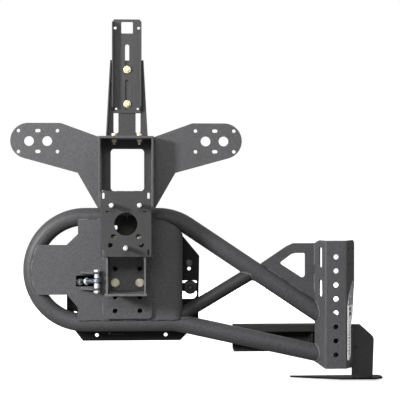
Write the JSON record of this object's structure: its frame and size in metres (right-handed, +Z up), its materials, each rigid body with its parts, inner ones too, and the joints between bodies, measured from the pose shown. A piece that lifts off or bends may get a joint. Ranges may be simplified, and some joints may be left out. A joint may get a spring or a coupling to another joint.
{
  "type": "spare tire carrier",
  "caption": "Hinged tube-frame spare tire carrier with wheel studs, lamp wings, sliding brake-light bracket and tailgate link.",
  "frame": {"origin": "centre of the wheel bolt circle, on the front face of the stud plate (centre of the camera port)", "axes": "+X to the right seen from behind the vehicle, towards the hinge; +Y forward into the vehicle; +Z up"},
  "size_m": [1.0774, 0.3103, 1.0401],
  "materials": {
    "charcoal_coat": "textured powder coat, charcoal",
    "black_coat": "textured powder coat, black",
    "yellow_zinc": "yellow passivated zinc",
    "bright_zinc": "bright zinc plate",
    "chrome_rod": "polished",
    "rod_end_steel": "satin zinc",
    "bronze": "machined bronze",
    "rubber": "moulded rubber",
    "brushed_strip": "brushed"
  },
  "bodies": {
    "body_mount": {"body_bracket_channel": "black_coat", "bracket_rib": "black_coat", "hinge_back_plate": "black_coat", "leg_rib": "black_coat", "foot_plate": "black_coat", "upper_hinge_ear": "black_coat", "lower_hinge_ear": "black_coat", "hinge_spindle": "bright_zinc", "spindle_nut": "bright_zinc", "spindle_washer": "bright_zinc", "thrust_washers": "bright_zinc"},
    "carrier": {"brace_tube": "charcoal_coat", "bracket_nuts": "yellow_zinc", "bracket_washers": "yellow_zinc", "camera_bracket": "charcoal_coat", "camera_bracket_fasteners": "yellow_zinc", "front_rod_ball": "chrome_rod", "grease_nipple": "bronze", "hinge_bushes": "bronze", "hinge_channel": "charcoal_coat", "hinge_gusset": "charcoal_coat", "hinge_housing": "charcoal_coat", "hinge_web": "charcoal_coat", "light_bracket_bolts": "yellow_zinc", "link_bolt": "bright_zinc", "link_nut": "bright_zinc", "link_spacers": "bright_zinc", "link_tabs": "charcoal_coat", "loop_tube": "charcoal_coat", "main_plate": "charcoal_coat", "mast_top_flange": "charcoal_coat", "mast_wall_left": "charcoal_coat", "mast_wall_right": "charcoal_coat", "mast_web": "charcoal_coat", "mount_bolts": "yellow_zinc", "mount_bottom_plate": "charcoal_coat", "mount_channel": "charcoal_coat", "mount_nuts": "yellow_zinc", "mount_washers": "yellow_zinc", "rail_plate": "charcoal_coat", "stud_plate": "charcoal_coat", "tower_bolts": "yellow_zinc", "tower_bracket": "charcoal_coat", "trim_rivets": "bright_zinc", "trim_strip": "brushed_strip", "wheel_studs": "bright_zinc", "wing_left": "charcoal_coat", "wing_right": "charcoal_coat"},
    "light_bracket": {"light_bracket": "charcoal_coat"},
    "tailgate_link": {"rod_ends": "rod_end_steel", "link_rod": "chrome_rod", "jam_nuts": "bright_zinc"},
    "tailgate_side": {"tailgate_plate": "black_coat", "tailgate_tabs": "black_coat", "tailgate_pin": "bright_zinc", "rear_rod_ball": "chrome_rod", "rubber_bumper": "rubber", "bumper_fasteners": "bright_zinc", "tailgate_bolt": "bright_zinc"}
  },
  "joints": [
    {"name": "carrier_swing", "type": "hinge", "parent": "body_mount", "child": "carrier", "pos_m": [0.624, 0.172, -0.3645], "axis": [0, 0, 1], "range_deg": [0, 100]},
    {"name": "light_bracket_slide", "type": "slide", "parent": "carrier", "child": "light_bracket", "axis": [0, 0, 1], "range_m": [-0.05, 0.008]},
    {"name": "link_pivot", "type": "hinge", "parent": "carrier", "child": "tailgate_link", "pos_m": [-0.086, 0.11, -0.1625], "axis": [0, 0, 1], "range_deg": [-1.5, 5]},
    {"name": "tailgate_pivot", "type": "hinge", "parent": "tailgate_link", "child": "tailgate_side", "pos_m": [-0.166, 0.174, -0.174], "axis": [0, 0, 1], "range_deg": [-1, 5]}
  ]
}
